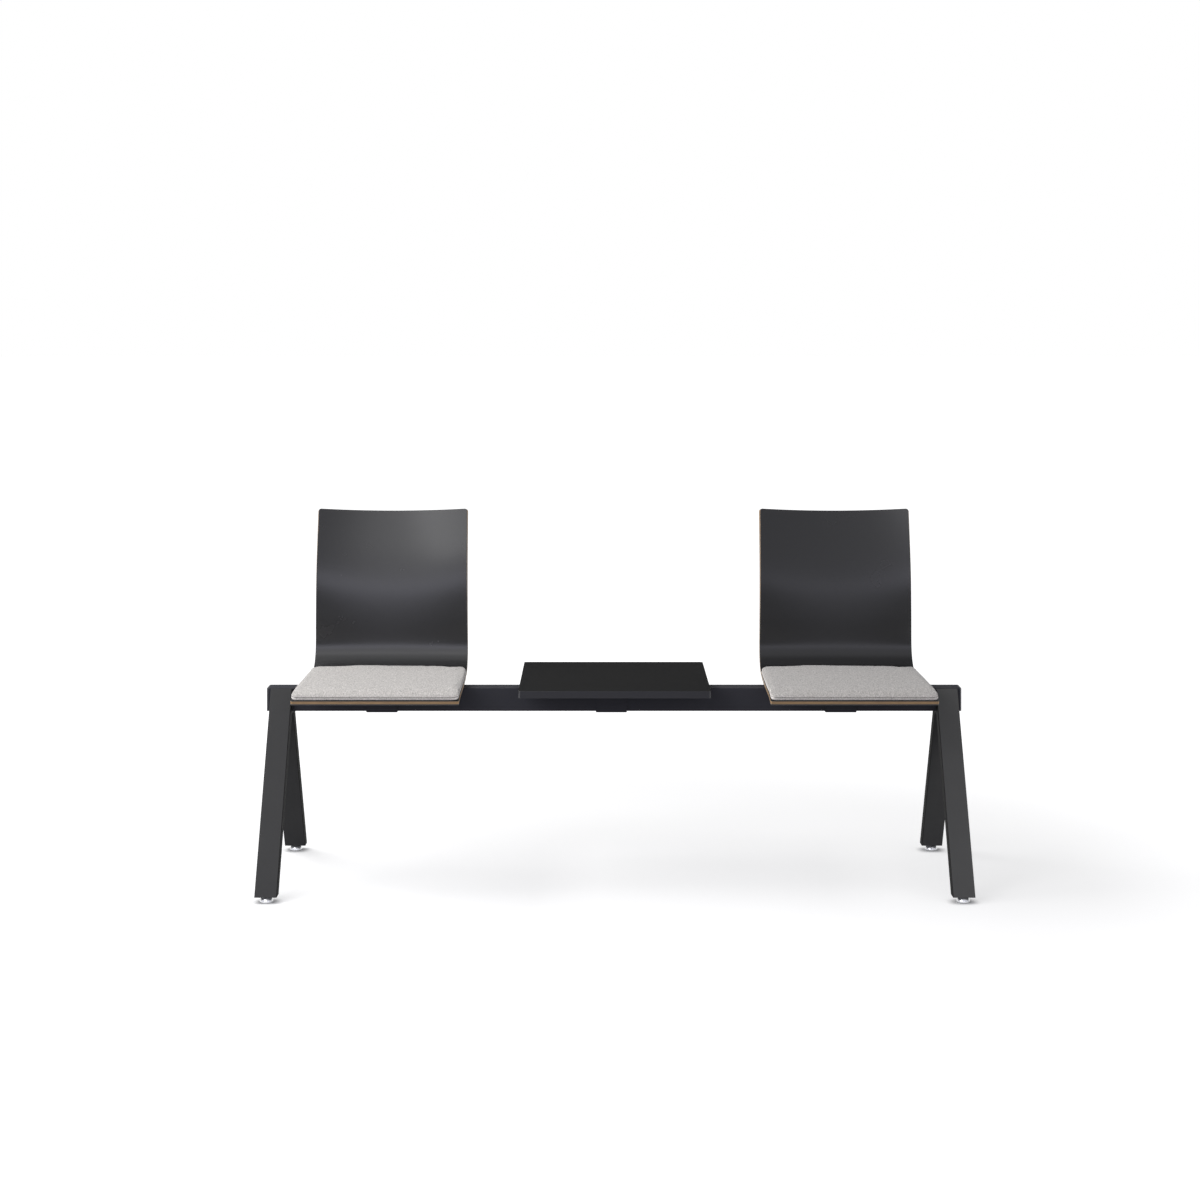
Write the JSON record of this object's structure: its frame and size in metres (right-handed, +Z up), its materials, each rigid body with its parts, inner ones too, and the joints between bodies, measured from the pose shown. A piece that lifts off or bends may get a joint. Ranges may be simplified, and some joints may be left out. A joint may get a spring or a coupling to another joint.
{
  "type": "beam bench",
  "caption": "Beam bench for waiting areas: padded moulded plywood seats and a small table side by side on one square steel beam, on splayed tube legs with levelling glides.",
  "frame": {"origin": "on the floor, centre of the bounding box's length and depth", "axes": "+Z up, +X along the beam to the right as seen from the front, -Y towards the sitter's front"},
  "size_m": [1.622, 0.511, 0.8376],
  "materials": {
    "frame_paint": "satin black powder coat",
    "black_plastic": "matt black plastic",
    "plywood": "satin charcoal laminate faces, clear-lacquered plywood edge",
    "pad_cloth": "light grey melange felted cloth",
    "table_board": "satin black laminate",
    "glide_chrome": "polished chrome",
    "zinc": "zinc plated",
    "dark_zinc": "black zinc plated"
  },
  "bodies": {
    "bench": {"beam": "frame_paint", "beam_end_cap_left": "black_plastic", "front_leg_left": "frame_paint", "rear_leg_left": "frame_paint", "leg_bracket_left": "frame_paint", "leg_bolts_left": "dark_zinc", "seat_shell_left": "plywood", "seat_pad_left": "pad_cloth", "beam_end_cap_right": "black_plastic", "front_leg_right": "frame_paint", "rear_leg_right": "frame_paint", "leg_bracket_right": "frame_paint", "leg_bolts_right": "dark_zinc", "seat_shell_right": "plywood", "seat_pad_right": "pad_cloth", "foot_plate_front_left": "frame_paint", "foot_plate_rear_left": "frame_paint", "foot_plate_front_right": "frame_paint", "foot_plate_rear_right": "frame_paint", "seat_left_saddle": "frame_paint", "seat_left_carrier": "frame_paint", "seat_left_clamp_bolts": "dark_zinc", "seat_left_clamp_nuts": "dark_zinc", "seat_left_spacers": "black_plastic", "seat_left_screws": "dark_zinc", "seat_left_inserts": "zinc", "seat_right_saddle": "frame_paint", "seat_right_carrier": "frame_paint", "seat_right_clamp_bolts": "dark_zinc", "seat_right_clamp_nuts": "dark_zinc", "seat_right_spacers": "black_plastic", "seat_right_screws": "dark_zinc", "seat_right_inserts": "zinc", "table_saddle": "frame_paint", "table_carrier": "frame_paint", "table_clamp_bolts": "dark_zinc", "table_clamp_nuts": "dark_zinc", "table_spacers": "black_plastic", "table_screws": "dark_zinc", "table_inserts": "zinc", "table_top": "table_board"},
    "glide_front_left": {"glide_stud_front_left": "zinc", "glide_foot_front_left": "glide_chrome"},
    "glide_rear_left": {"glide_stud_rear_left": "zinc", "glide_foot_rear_left": "glide_chrome"},
    "glide_front_right": {"glide_stud_front_right": "zinc", "glide_foot_front_right": "glide_chrome"},
    "glide_rear_right": {"glide_stud_rear_right": "zinc", "glide_foot_rear_right": "glide_chrome"}
  },
  "joints": [
    {"name": "glide_front_left_screw", "type": "slide", "parent": "bench", "child": "glide_front_left", "axis": [0, 0, -1], "range_m": [0, 0.01]},
    {"name": "glide_rear_left_screw", "type": "slide", "parent": "bench", "child": "glide_rear_left", "axis": [0, 0, -1], "range_m": [0, 0.01]},
    {"name": "glide_front_right_screw", "type": "slide", "parent": "bench", "child": "glide_front_right", "axis": [0, 0, -1], "range_m": [0, 0.01]},
    {"name": "glide_rear_right_screw", "type": "slide", "parent": "bench", "child": "glide_rear_right", "axis": [0, 0, -1], "range_m": [0, 0.01]}
  ]
}
